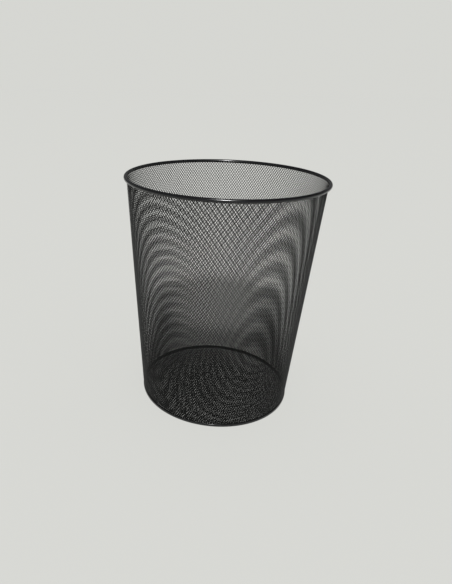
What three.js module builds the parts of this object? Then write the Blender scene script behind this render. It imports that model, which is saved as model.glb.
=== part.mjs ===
// A round office wastebasket of black painted steel: a tapered wall of expanded metal, a rolled rim
// hoop over its top edge, a floor of the same expanded metal and a rolled ring that clamps wall and
// floor together. The expanded metal is drawn as plain sheet of its full depth, without its diamond
// holes. Millimetres, +Z up. The origin is the centre of the base ring's underside.

import * as THREE from "three";

// Driving dimensions
const HEIGHT = 350; // overall, to the top of the rim
const TOP_DIAMETER = 295; // overall, outside of the rim
const WALL_TOP_DIAMETER = 285; // middle of the mesh, at the height of the rim's centre
const WALL_BOTTOM_DIAMETER = 234; // middle of the mesh, at the resting surface
const MESH_DEPTH = 0.9; // room that the mesh takes, front to back
const RIM_TUBE_DIAMETER = 5.4;
const RIM_STRIP = 0.6; // thickness of the strip that the rim is rolled from
const RING_STRIP = 0.5; // thickness of the strip that the base ring is rolled from
const RING_HEIGHT = 4.4;
const FLOOR_HEIGHT = 3.65; // middle of the floor's mesh
const CLEARANCE = 0.3; // air between neighbouring pieces
const STEPS_ROUND = 72; // facets of every turned piece
const STEPS_PER_ARC = 2; // doubled by three.js on each bend

// Sizes that follow from them
const rimTubeRadius = RIM_TUBE_DIAMETER / 2;
const rimRadius = TOP_DIAMETER / 2 - rimTubeRadius;
const rimHeight = HEIGHT - rimTubeRadius;
const halfMesh = MESH_DEPTH / 2;
const halfStrip = RING_STRIP / 2;

// Radius of the middle of the wall's mesh at a height.
function wallRadius(height) {
  const taper = (WALL_TOP_DIAMETER - WALL_BOTTOM_DIAMETER) / 2 / rimHeight;
  return WALL_BOTTOM_DIAMETER / 2 + taper * height;
}

// The closed outline of a sheet of the given thickness whose middle follows the path.
function sheetOutline(path, thickness) {
  const points = path.getPoints(STEPS_PER_ARC);
  const side = (offset) =>
    points.map((point, i) => {
      const before = points[Math.max(i - 1, 0)];
      const after = points[Math.min(i + 1, points.length - 1)];
      const along = after.clone().sub(before).normalize();
      return new THREE.Vector2(point.x + offset * along.y, point.y - offset * along.x);
    });
  return [...side(thickness / 2), ...side(-thickness / 2).reverse()];
}

// A sheet turned about +Z: its path is drawn in radius and height. A path that starts on the axis
// gives a disc, and any other path gives a hoop.
function turned(name, path, thickness, material) {
  const outline = sheetOutline(path, thickness);
  const isHoop = outline[0].x > 0;
  if (isHoop) outline.push(outline[0].clone());
  const geometry = new THREE.LatheGeometry(outline, STEPS_ROUND);
  geometry.rotateX(Math.PI / 2);
  const mesh = new THREE.Mesh(geometry, material);
  mesh.name = name;
  return mesh;
}

function paint(colour, roughness) {
  return new THREE.MeshStandardMaterial({ color: colour, roughness, metalness: 0 });
}

// The wall rises at one taper, and its top edge flares out into the rim's slot.
const FLARE_DROP = 3.3; // start of the flare, below the rim's centre
const EDGE_INSET = 0.9; // top edge, inside the rim's centre circle
const EDGE_DROP = 0.7; // top edge, below the rim's centre
const flareHeight = rimHeight - FLARE_DROP;
const sheetEdgeHeight = RING_STRIP + CLEARANCE; // lower edges of wall and floor, inside the base ring

function wallMesh() {
  const path = new THREE.Path();
  path.moveTo(wallRadius(sheetEdgeHeight), sheetEdgeHeight);
  path.lineTo(wallRadius(flareHeight), flareHeight);
  path.lineTo(rimRadius - EDGE_INSET, rimHeight - EDGE_DROP);
  return turned("wall_mesh", path, MESH_DEPTH, paint(0x1b1c1d, 0.4));
}

// The rim is a strip rolled almost into a tube, with a slot down and inwards that takes the wall.
const SLOT_DIRECTION = THREE.MathUtils.degToRad(229); // from outwards, towards up
const SLOT_HALF_ANGLE = THREE.MathUtils.degToRad(24);
const RIM_ARCS = 3; // the tube's bend is drawn as this many equal arcs

function rimTube() {
  const path = new THREE.Path();
  const start = SLOT_DIRECTION + SLOT_HALF_ANGLE;
  const sweep = (2 * Math.PI - 2 * SLOT_HALF_ANGLE) / RIM_ARCS;
  const middle = rimTubeRadius - RIM_STRIP / 2;
  for (let arc = 0; arc < RIM_ARCS; arc += 1) {
    const from = start + arc * sweep;
    path.absarc(rimRadius, rimHeight, middle, from, from + sweep, false);
  }
  return turned("rim_tube", path, RIM_STRIP, paint(0x0c0d0e, 0.25));
}

// The floor's edge is turned down inside the foot of the wall.
const FLOOR_BEND = 1; // bend radius at the middle of the sheet
const flangeRadius = wallRadius(sheetEdgeHeight) - MESH_DEPTH - CLEARANCE;

function floorMesh() {
  const path = new THREE.Path();
  path.moveTo(0, FLOOR_HEIGHT);
  path.lineTo(flangeRadius - FLOOR_BEND, FLOOR_HEIGHT);
  path.absarc(flangeRadius - FLOOR_BEND, FLOOR_HEIGHT - FLOOR_BEND, FLOOR_BEND, Math.PI / 2, 0, true);
  path.lineTo(flangeRadius, sheetEdgeHeight);
  return turned("floor_mesh", path, MESH_DEPTH, paint(0x1b1c1d, 0.4));
}

// The base ring is a channel open at the top: a low lip under the floor, a flat foot, and a high lip
// that leans with the wall.
const INNER_CORNER = 0.9;
const OUTER_CORNER = 1.2;
const innerLipRadius = flangeRadius - halfMesh - CLEARANCE - halfStrip;
const innerLipHeight = FLOOR_HEIGHT - halfMesh - CLEARANCE - 0.1;
const lipStandOff = halfMesh + CLEARANCE + halfStrip; // outer lip, outside the middle of the wall

function baseRing() {
  const outerLipFoot = wallRadius(OUTER_CORNER) + lipStandOff;
  const cornerHeight = halfStrip + OUTER_CORNER;
  const path = new THREE.Path();
  path.moveTo(innerLipRadius, innerLipHeight);
  path.absarc(
    innerLipRadius + INNER_CORNER, halfStrip + INNER_CORNER, INNER_CORNER, Math.PI, 1.5 * Math.PI, false,
  );
  path.absarc(outerLipFoot - OUTER_CORNER, cornerHeight, OUTER_CORNER, 1.5 * Math.PI, 2 * Math.PI, false);
  path.lineTo(wallRadius(RING_HEIGHT) + lipStandOff, RING_HEIGHT);
  return turned("base_ring", path, RING_STRIP, paint(0x0c0d0e, 0.3));
}

const wastebasket = new THREE.Group();
wastebasket.add(wallMesh(), rimTube(), floorMesh(), baseRing());

export default wastebasket;
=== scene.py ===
import math

import bpy
import numpy as np
from mathutils import Matrix


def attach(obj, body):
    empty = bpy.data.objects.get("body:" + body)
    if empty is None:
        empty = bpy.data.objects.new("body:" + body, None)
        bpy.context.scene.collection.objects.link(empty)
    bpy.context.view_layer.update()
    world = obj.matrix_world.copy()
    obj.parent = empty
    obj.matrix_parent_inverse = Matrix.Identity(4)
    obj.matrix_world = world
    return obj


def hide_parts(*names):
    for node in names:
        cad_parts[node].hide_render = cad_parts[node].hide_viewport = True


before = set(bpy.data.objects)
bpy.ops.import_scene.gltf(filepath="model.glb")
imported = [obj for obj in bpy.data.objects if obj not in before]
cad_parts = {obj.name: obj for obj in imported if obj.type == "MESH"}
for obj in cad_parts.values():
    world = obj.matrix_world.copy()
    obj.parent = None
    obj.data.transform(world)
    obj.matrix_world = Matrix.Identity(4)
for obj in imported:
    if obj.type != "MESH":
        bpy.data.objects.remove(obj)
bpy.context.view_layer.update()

# A round wastebasket of black painted expanded steel. Lengths are in metres, in the frame of the CAD
# model: +Z up, with the origin at the centre of the base ring's underside.
MM = 0.001

# ---------------------------------------------------------------- sizes

HEIGHT = 350 * MM
RIM_TUBE = 2.7 * MM  # outer radius of the rim's tube
RIM_RADIUS = 147.5 * MM - RIM_TUBE
RIM_HEIGHT = HEIGHT - RIM_TUBE
RIM_STRIP = 0.6 * MM
WALL_TOP = 142.5 * MM  # radius of the wall's middle at the rim's height
WALL_FOOT = 117 * MM  # and at the resting surface
MESH_DEPTH = 0.9 * MM  # room that the mesh takes, front to back
CLEARANCE = 0.3 * MM

COLUMNS = 208  # diamonds round the wall, the same at every height
ROW_PITCH = 5.75 * MM  # height of a diamond
LEAN = 0.031  # how far the wall's diamonds shift round the basket per length up it
FLOOR_PITCH = 3.9 * MM  # width of a diamond in the floor
SHEET = 0.45 * MM  # thickness of the steel that the mesh is cut from
BOND = 0.55 * MM  # half the width of the metal between two holes side by side
TIP = 0.73 * MM  # half the height of the metal between two holes one above the other
FLAT = 0.12 * MM  # half the height of the flat at each side of a hole

SEAM_AZIMUTH = math.pi  # the lap seam and the rim's butt weld are on the -X side
SECTORS = 4  # the wall is shown as this many pieces


def wall_radius(height):
    return WALL_FOOT + (WALL_TOP - WALL_FOOT) * height / RIM_HEIGHT


# ---------------------------------------------------------------- paths in radius and height


def arc(centre, radius, start, end, steps=8):
    """Points on an arc, with angles in degrees from outwards, towards up."""
    turn = np.radians(np.linspace(start, end, steps + 1))
    return np.stack([centre[0] + radius * np.cos(turn), centre[1] + radius * np.sin(turn)], axis=1)


class Path:
    """A smooth line in radius and height that a sheet follows, measured along its length."""

    def __init__(self, *stretches):
        self.points = np.concatenate([np.atleast_2d(np.array(s, float)) for s in stretches])
        steps = np.diff(self.points, axis=0)
        self.at = np.concatenate([[0], np.cumsum(np.hypot(*steps.T))])
        along = np.gradient(self.points, self.at, axis=0)
        self.along = along / np.linalg.norm(along, axis=1, keepdims=True)
        self.length = self.at[-1]

    def __call__(self, distance):
        """Radius, height, and the part of each in the direction to the right of the path."""
        place = [np.interp(distance, self.at, self.points[:, i]) for i in (0, 1)]
        along = [np.interp(distance, self.at, self.along[:, i]) for i in (0, 1)]
        size = np.hypot(*along)
        return place[0], place[1], along[1] / size, -along[0] / size

    def outline(self, thickness):
        """The closed outline of a strip that follows the path, with rounded edges."""
        right = np.stack([self.along[:, 1], -self.along[:, 0]], axis=1) * thickness / 2
        end = self.cap(-1, thickness / 2, 1)
        start = self.cap(0, thickness / 2, -1)
        return np.concatenate([self.points + right, end, (self.points - right)[::-1], start])

    def cap(self, index, radius, direction):
        """The rounded edge of a strip at one end of the path."""
        turn = np.radians(np.array([45, 90, 135]))
        along = self.along[index] * direction
        side = np.array([along[1], -along[0]])
        return self.points[index] + radius * (
            np.outer(np.cos(turn), side) + np.outer(np.sin(turn), along)
        )


SHEET_EDGE = 0.5 * MM + CLEARANCE  # lower edges of wall and floor, inside the base ring
FLARE = RIM_HEIGHT - 3.3 * MM
EDGE_INSET = 0.9 * MM
EDGE_DROP = 0.7 * MM
FLOOR_HEIGHT = 3.65 * MM
FLOOR_BEND = 1 * MM
FLANGE = wall_radius(SHEET_EDGE) - MESH_DEPTH - CLEARANCE

wall_path = Path(
    [wall_radius(SHEET_EDGE), SHEET_EDGE],
    [wall_radius(FLARE), FLARE],
    [RIM_RADIUS - EDGE_INSET, RIM_HEIGHT - EDGE_DROP],
)
floor_path = Path(
    [0, FLOOR_HEIGHT],
    arc((FLANGE - FLOOR_BEND, FLOOR_HEIGHT - FLOOR_BEND), FLOOR_BEND, 90, 0),
    [FLANGE, SHEET_EDGE],
)

# ---------------------------------------------------------------- expanded metal

TOP, UPPER_RIGHT, LOWER_RIGHT, BOTTOM, LOWER_LEFT, UPPER_LEFT = range(6)
# A hole's corners: side, kind of corner, and direction up or down
CORNERS = {
    TOP: (0, "tip", 1),
    UPPER_RIGHT: (1, "flat", 1),
    LOWER_RIGHT: (1, "flat", -1),
    BOTTOM: (0, "tip", -1),
    LOWER_LEFT: (-1, "flat", -1),
    UPPER_LEFT: (-1, "flat", 1),
}


class Pattern:
    """A flat pattern of expanded metal: diamond holes in staggered rows, as faces between them.
    A point is (across, up), across in diamonds and up in metres. The sides of a hole are flat."""

    def __init__(self, rows, columns, pitch_at, wraps=False):
        self.rows = rows
        self.columns = columns
        self.period = len(columns) if wraps else None
        row, column = (a.ravel() for a in np.meshgrid(rows, columns, indexing="ij"))
        self.points = self.corners(row, column, pitch_at)
        self.faces = self.between(row, column)

    def corners(self, row, column, pitch_at):
        points = np.empty((len(row), 6, 2))
        rise = {"tip": ROW_PITCH / 2 - TIP, "flat": FLAT}
        for corner, (side, kind, direction) in CORNERS.items():
            up = row * ROW_PITCH / 2 + direction * rise[kind]
            points[:, corner, 0] = column + row % 2 / 2 + side * (0.5 - BOND / pitch_at(up))
            points[:, corner, 1] = up
        return points.reshape(-1, 2)

    def number(self, row, column, corner):
        """The number of a hole's corner, or -1 outside the pattern."""
        column = column - self.columns[0]
        if self.period:
            column = column % self.period
        known = (row >= self.rows[0]) & (row <= self.rows[-1])
        known &= (column >= 0) & (column < len(self.columns))
        return np.where(known, ((row - self.rows[0]) * len(self.columns) + column) * 6 + corner, -1)

    def between(self, row, column):
        """The strands up from each hole, and the bond to its right."""
        odd = row % 2
        right = (row, column + 1)
        upper_right = (row + 1, column + odd)
        upper_left = (row + 1, column + odd - 1)
        lower_right = (row - 1, column + odd)
        here = (row, column)
        shapes = (
            ((here, TOP), (here, UPPER_RIGHT), (upper_right, BOTTOM), (upper_right, LOWER_LEFT)),
            ((here, UPPER_LEFT), (here, TOP), (upper_left, LOWER_RIGHT), (upper_left, BOTTOM)),
            (
                (here, LOWER_RIGHT),
                (lower_right, TOP),
                (right, LOWER_LEFT),
                (right, UPPER_LEFT),
                (upper_right, BOTTOM),
                (here, UPPER_RIGHT),
            ),
        )
        faces = []
        for shape in shapes:
            numbers = np.stack([self.number(*hole, corner) for hole, corner in shape], axis=1)
            faces.extend(numbers[(numbers >= 0).all(axis=1)].tolist())
        return faces

    def cut(self, inside):
        """Trims the pattern to where inside(points) is positive, with straight cuts across faces."""
        depth = inside(self.points)
        cuts = {}
        added, kept = [], []

        def cut_point(a, b):
            key = (min(a, b), max(a, b))
            if key not in cuts:
                cuts[key] = len(self.points) + len(added)
                share = depth[a] / (depth[a] - depth[b])
                step = self.points[b] - self.points[a]
                if self.period:
                    step[0] = (step[0] + self.period / 2) % self.period - self.period / 2
                added.append(self.points[a] + share * step)
            return cuts[key]

        for face in self.faces:
            signs = depth[face] > 0
            if signs.all():
                kept.append(face)
            elif signs.any():
                outline = []
                for a, b in zip(face, face[1:] + face[:1]):
                    if depth[a] > 0:
                        outline.append(a)
                    if (depth[a] > 0) != (depth[b] > 0):
                        outline.append(cut_point(a, b))
                kept.append(outline)
        self.faces = kept
        if added:
            self.points = np.concatenate([self.points, added])


def new_object(name, vertices, loops, counts, flat=False):
    mesh = bpy.data.meshes.new(name)
    mesh.vertices.add(len(vertices))
    mesh.vertices.foreach_set("co", np.asarray(vertices, np.float32).ravel())
    mesh.loops.add(len(loops))
    mesh.loops.foreach_set("vertex_index", np.asarray(loops, np.int32))
    mesh.polygons.add(len(counts))
    starts = np.concatenate([[0], np.cumsum(counts)[:-1]])
    mesh.polygons.foreach_set("loop_start", starts.astype(np.int32))
    mesh.update(calc_edges=True)
    mesh.validate()
    if flat:
        mesh.shade_flat()
    else:
        mesh.shade_smooth()
    made = bpy.data.objects.new(name, mesh)
    bpy.context.scene.collection.objects.link(made)
    return made


def solid_sheet(name, faces, place, normal):
    """A closed object: the faces, their copies at the back of the sheet, and walls at every open edge."""
    counts = np.array([len(f) for f in faces])
    loops = np.concatenate([np.array(f) for f in faces])
    used, loops = np.unique(loops, return_inverse=True)
    total = len(used)
    ends = np.cumsum(counts)
    following = np.arange(len(loops)) + 1
    following[ends - 1] = ends - counts
    heads, tails = loops, loops[following]
    open_edges = ~np.isin(tails * total + heads, heads * total + tails)
    heads, tails = heads[open_edges], tails[open_edges]
    walls = np.stack([heads, heads + total, tails + total, tails], axis=1).ravel()
    backwards = np.concatenate([np.arange(e - 1, e - c - 1, -1) for e, c in zip(ends, counts)])
    half = SHEET / 2 * normal[used]
    vertices = np.concatenate([place[used] + half, place[used] - half])
    all_loops = np.concatenate([loops, loops[backwards] + total, walls])
    all_counts = np.concatenate([counts, counts, np.full(len(heads), 4)])
    return new_object(name, vertices, all_loops, all_counts, flat=True)


def round_the_axis(radius, height, out, up, azimuth):
    """Points and normals from radius, height and a normal's parts, at an azimuth."""
    c, s = np.cos(azimuth), np.sin(azimuth)
    return np.stack([radius * c, radius * s, height], 1), np.stack([out * c, out * s, up], 1)


def wall_pitch(up):
    return 2 * math.pi * wall_path(up)[0] / COLUMNS


def wall_place(points, stand_off=0):
    radius, height, out, up = wall_path(points[:, 1])
    lean = LEAN * points[:, 1] / wall_radius(HEIGHT / 2)
    azimuth = SEAM_AZIMUTH + 2 * math.pi * points[:, 0] / COLUMNS + lean
    return round_the_axis(radius + stand_off * out, height + stand_off * up, out, up, azimuth)


def rows_for(low, high):
    spare = 2
    first = math.floor(low / (ROW_PITCH / 2)) - spare
    return np.arange(first, math.ceil(high / (ROW_PITCH / 2)) + spare + 1)


def make_wall():
    pattern = Pattern(rows_for(0, wall_path.length), np.arange(COLUMNS), wall_pitch, wraps=True)
    pattern.cut(lambda p: p[:, 1])
    pattern.cut(lambda p: wall_path.length - p[:, 1])
    place, normal = wall_place(pattern.points)
    across = pattern.points[:, 0]
    sectors = [[] for _ in range(SECTORS)]
    for face in pattern.faces:
        sector = int(max(across[face].max(), 0) * SECTORS / COLUMNS)
        sectors[min(sector, SECTORS - 1)].append(face)
    return [
        solid_sheet(f"wall_mesh_{i + 1}", faces, place, normal)
        for i, faces in enumerate(sectors)
    ]


LAP_HALF_WIDTH = 0.95  # in diamonds
LAP_STAND_OFF = 0.8 * MM
LAP_TRIM = 4.5 * MM  # clear of the base ring and of the rim
LAP_COLUMNS = 3  # diamonds to each side of the seam, before it is cut to width


def make_lap():
    """The outer layer of the lap seam: a narrow strip of the wall's own mesh on top of the wall."""
    columns = np.arange(-LAP_COLUMNS, LAP_COLUMNS + 1)
    pattern = Pattern(rows_for(0, wall_path.length), columns, wall_pitch)
    pattern.cut(lambda p: p[:, 1] - LAP_TRIM)
    pattern.cut(lambda p: wall_path.length - LAP_TRIM - p[:, 1])
    pattern.cut(lambda p: LAP_HALF_WIDTH - p[:, 0])
    pattern.cut(lambda p: LAP_HALF_WIDTH + p[:, 0])
    place, normal = wall_place(pattern.points, LAP_STAND_OFF)
    return solid_sheet("wall_mesh_lap", pattern.faces, place, normal)


FLOOR_TURN = math.radians(12)  # the floor's diamonds against the +X direction


def make_floor():
    rows = rows_for(-floor_path.length, floor_path.length)
    reach = math.ceil(floor_path.length / FLOOR_PITCH) + 2
    pattern = Pattern(rows, np.arange(-reach, reach + 1), lambda up: FLOOR_PITCH)
    scale = np.array([FLOOR_PITCH, 1])
    pattern.cut(lambda p: floor_path.length - np.hypot(*(p * scale).T))
    flat = pattern.points * scale
    azimuth = np.arctan2(flat[:, 1], flat[:, 0]) + FLOOR_TURN
    radius, height, out, up = floor_path(np.hypot(*flat.T))
    place, normal = round_the_axis(radius, height, -out, -up, azimuth)
    return solid_sheet("floor_mesh_disc", pattern.faces, place, normal)


# ---------------------------------------------------------------- rolled hoops

STEPS_ROUND = 288


def turned(name, outline, steps=STEPS_ROUND, swell=None):
    """A closed outline in radius and height, anticlockwise, turned about +Z."""
    count = len(outline)
    azimuth = np.repeat(np.arange(steps) * 2 * math.pi / steps, count)
    radius, height = np.tile(outline, (steps, 1)).T
    if swell is not None:
        radius, height = swell(radius, height, azimuth)
    vertices = np.stack([radius * np.cos(azimuth), radius * np.sin(azimuth), height], 1)
    step, point = (a.ravel() for a in np.meshgrid(np.arange(steps), np.arange(count), indexing="ij"))
    step_on, point_on = (step + 1) % steps, (point + 1) % count
    corners = [step * count + point, step_on * count + point]
    corners += [step_on * count + point_on, step * count + point_on]
    return new_object(name, vertices, np.stack(corners, 1).ravel(), np.full(steps * count, 4))


SLOT_DIRECTION = 229  # degrees from outwards, towards up
SLOT_HALF_ANGLE = 13
WELD_RISE = 0.14 * MM
WELD_WIDTH = 2.2 * MM


def weld_at(azimuth, radius):
    """From 0 to 1, how near a point is to a hoop's butt weld."""
    away = (azimuth - SEAM_AZIMUTH + math.pi) % (2 * math.pi) - math.pi
    return np.exp(-((away * radius / (WELD_WIDTH / 2)) ** 2))


def make_rim():
    middle = RIM_TUBE - RIM_STRIP / 2
    start = SLOT_DIRECTION + SLOT_HALF_ANGLE
    end = SLOT_DIRECTION - SLOT_HALF_ANGLE + 360
    outline = Path(arc((RIM_RADIUS, RIM_HEIGHT), middle, start, end, 40)).outline(RIM_STRIP)

    def weld(radius, height, azimuth):
        from_centre = np.stack([radius - RIM_RADIUS, height - RIM_HEIGHT])
        size = np.hypot(*from_centre)
        outside = size > middle
        growth = 1 + outside * weld_at(azimuth, RIM_RADIUS) * WELD_RISE / size
        return RIM_RADIUS + from_centre[0] * growth, RIM_HEIGHT + from_centre[1] * growth

    return turned("rim_tube_hoop", outline, swell=weld)


RING_STRIP = 0.5 * MM
RING_HEIGHT = 4.4 * MM
RING_INNER_CORNER = 0.9 * MM
RING_OUTER_CORNER = 1.2 * MM
RING_BULGES = ((0.6, 0.12 * MM), (0.85, 0.05 * MM))  # share of the lip's height, and how far out


def make_ring():
    half = RING_STRIP / 2
    inner_lip = FLANGE - MESH_DEPTH / 2 - CLEARANCE / 2 - half
    inner_top = FLOOR_HEIGHT - MESH_DEPTH / 2 - CLEARANCE
    stand_off = MESH_DEPTH / 2 + CLEARANCE + half
    foot = wall_radius(0) + stand_off
    inner_corner, outer_corner = RING_INNER_CORNER, RING_OUTER_CORNER
    lip_top = RING_HEIGHT - half
    path = Path(
        [inner_lip, inner_top],
        arc((inner_lip + inner_corner, half + inner_corner), inner_corner, 180, 270),
        arc((foot - outer_corner, half + outer_corner), outer_corner, 270, 360),
        [[foot + bulge, share * lip_top] for share, bulge in RING_BULGES],
        [wall_radius(lip_top) + MESH_DEPTH / 2 + half, lip_top],
    )
    return turned("base_ring_hoop", path.outline(RING_STRIP))


# ---------------------------------------------------------------- paint


class Nodes:
    """Adds nodes to a material's tree."""

    def __init__(self, name):
        self.material = bpy.data.materials.new(name)
        self.material.use_nodes = True
        self.tree = self.material.node_tree
        self.shader = self.tree.nodes["Principled BSDF"]

    def add(self, kind, inputs=(), **settings):
        node = self.tree.nodes.new(kind)
        for key, value in settings.items():
            setattr(node, key, value)
        for key, value in dict(inputs).items():
            self.put(node.inputs[key], value)
        return node

    def put(self, socket, value):
        if isinstance(value, bpy.types.NodeSocket):
            self.tree.links.new(value, socket)
        else:
            socket.default_value = value

    def noise(self, per_metre, detail=3.0, roughness=0.5):
        place = self.add("ShaderNodeTexCoord").outputs["Object"]
        settings = {"Vector": place, "Scale": per_metre, "Detail": detail, "Roughness": roughness}
        return self.add("ShaderNodeTexNoise", settings).outputs["Fac"]

    def spread(self, value, low, high, start=0.3, end=0.7):
        """Maps a noise value onto the range from low to high."""
        settings = {"Value": value, "From Min": start, "From Max": end, "To Min": low, "To Max": high}
        return self.add("ShaderNodeMapRange", settings).outputs["Result"]

    def blend(self, share, colour_a, colour_b):
        node = self.add("ShaderNodeMix", data_type="RGBA")
        self.put(node.inputs["Factor"], share)
        self.put(node.inputs[6], (*colour_a, 1))
        self.put(node.inputs[7], (*colour_b, 1))
        return node.outputs[2]


CLOUD_SCALE = 45  # per metre: slow changes in the coat's thickness
GRAIN_SCALE = 1400  # per metre: fine changes in colour and gloss


def black_paint(name, thin, thick, gloss, specular, peel_scale, peel):
    """Black paint: thin and thick coats differ a little in colour, gloss is its roughness from glossy
    to dull, and peel is the height of its orange-peel surface."""
    nodes = Nodes(name)
    cloud = nodes.noise(CLOUD_SCALE, detail=2)
    grain = nodes.noise(GRAIN_SCALE, detail=4, roughness=0.6)
    surface = nodes.noise(peel_scale, detail=2)
    shader = nodes.shader
    patches = nodes.add("ShaderNodeMath", {0: cloud, 1: grain}, operation="MULTIPLY").outputs[0]
    share = nodes.spread(patches, 0, 1, 0.15, 0.4)
    nodes.put(shader.inputs["Base Color"], nodes.blend(share, thick, thin))
    nodes.put(shader.inputs["Roughness"], nodes.spread(grain, *gloss))
    bump = nodes.add("ShaderNodeBump", {"Height": surface, "Strength": 1.0, "Distance": peel})
    nodes.put(shader.inputs["Normal"], bump.outputs["Normal"])
    shader.inputs["Specular IOR Level"].default_value = specular
    return nodes.material


mesh_paint = black_paint(
    "mesh_paint", (0.009, 0.0093, 0.009), (0.005, 0.0052, 0.005), (0.45, 0.6), 0.1, 900, 0.03 * MM
)
rim_paint = black_paint(
    "rim_paint", (0.006, 0.0063, 0.007), (0.004, 0.0042, 0.0047), (0.16, 0.26), 0.4, 650, 0.02 * MM
)


def finish_piece(piece, material, slot, *nodes):
    piece.data.materials.append(material)
    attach(piece, "root")
    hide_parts(*nodes)


# ---------------------------------------------------------------- the camera

CAMERA_PLACE = (-79.6 * MM, -738.4 * MM, 489.6 * MM)
CAMERA_DOWN = math.radians(22.45)
CAMERA_ROLL = math.radians(1.22)
CAMERA_LENS = 31.56  # mm
CAMERA_SHIFT = (0.098, -0.0192)


def make_camera():
    data = bpy.data.cameras.new("camera")
    data.lens = CAMERA_LENS
    data.shift_x, data.shift_y = CAMERA_SHIFT
    data.clip_start = 0.01
    data.clip_end = 100
    camera = bpy.data.objects.new("camera", data)
    turn = Matrix.Rotation(math.pi / 2 - CAMERA_DOWN, 4, "X") @ Matrix.Rotation(CAMERA_ROLL, 4, "Z")
    camera.matrix_world = Matrix.Translation(CAMERA_PLACE) @ turn
    bpy.context.scene.collection.objects.link(camera)
    bpy.context.scene.camera = camera


# ---------------------------------------------------------------- floor and light


STAGE_HALF_SIDE = 12  # metres
FLOOR_COLOUR = (0.62, 0.624, 0.597)
KEY_STRENGTH = 4.2
KEY_AZIMUTH = -6  # degrees from the front towards +X
KEY_ELEVATION = 46  # degrees
KEY_SPREAD = 7  # degrees
FILL = 0.15
FAR_FLOOR = 0.975  # brightness of the floor towards its edge, against an ideal matt floor


def make_stage():
    side = STAGE_HALF_SIDE
    corners = [(-side, -side, 0), (side, -side, 0), (side, side, 0), (-side, side, 0)]
    floor = new_object("studio_floor", corners, [0, 1, 2, 3], [4])
    material = bpy.data.materials.new("studio_floor")
    material.use_nodes = True
    shader = material.node_tree.nodes["Principled BSDF"]
    shader.inputs["Base Color"].default_value = (*FLOOR_COLOUR, 1)
    shader.inputs["Roughness"].default_value = 0.9
    shader.inputs["Specular IOR Level"].default_value = 0.1
    floor.data.materials.append(material)


def make_sun(name, azimuth, elevation, spread, strength):
    """Light from far away: azimuth from the front towards +X, elevation and spread in degrees."""
    data = bpy.data.lights.new(name, "SUN")
    data.angle = math.radians(spread)
    data.energy = strength
    light = bpy.data.objects.new(name, data)
    light.rotation_euler = (math.radians(90 - elevation), 0, math.radians(azimuth))
    bpy.context.scene.collection.objects.link(light)


def make_world(seen, felt):
    """The studio round the floor: one colour where the camera sees it, and a dimmer one as a light."""
    world = bpy.data.worlds.new("studio")
    world.use_nodes = True
    world.cycles.sampling_method = "NONE"
    bpy.context.scene.world = world
    tree = world.node_tree
    tree.nodes.clear()
    output = tree.nodes.new("ShaderNodeOutputWorld")
    mix = tree.nodes.new("ShaderNodeMixShader")
    path = tree.nodes.new("ShaderNodeLightPath")
    tree.links.new(path.outputs["Is Camera Ray"], mix.inputs[0])
    for socket, colour in ((1, felt), (2, seen)):
        light = tree.nodes.new("ShaderNodeBackground")
        light.inputs["Color"].default_value = (*colour, 1)
        tree.links.new(light.outputs[0], mix.inputs[socket])
    tree.links.new(mix.outputs[0], output.inputs[0])


def make_studio():
    """A soft key light above the camera, and dim light from all round. The studio past the floor's
    edge looks as bright as the floor."""
    make_stage()
    floor_light = KEY_STRENGTH * math.sin(math.radians(KEY_ELEVATION)) / math.pi + FILL
    make_world(seen=[FAR_FLOOR * floor_light * c for c in FLOOR_COLOUR], felt=[FILL] * 3)
    make_sun("key", KEY_AZIMUTH, KEY_ELEVATION, KEY_SPREAD, KEY_STRENGTH)


# ---------------------------------------------------------------- the object

make_camera()
make_studio()
for wall_piece in make_wall():
    finish_piece(wall_piece, mesh_paint, "mesh_paint", "wall_mesh")
finish_piece(make_lap(), mesh_paint, "mesh_paint", "wall_mesh")
finish_piece(make_floor(), mesh_paint, "mesh_paint", "floor_mesh")
finish_piece(make_rim(), rim_paint, "rim_paint", "rim_tube")
finish_piece(make_ring(), rim_paint, "rim_paint", "base_ring")

bpy.context.scene.view_settings.view_transform = "Standard"
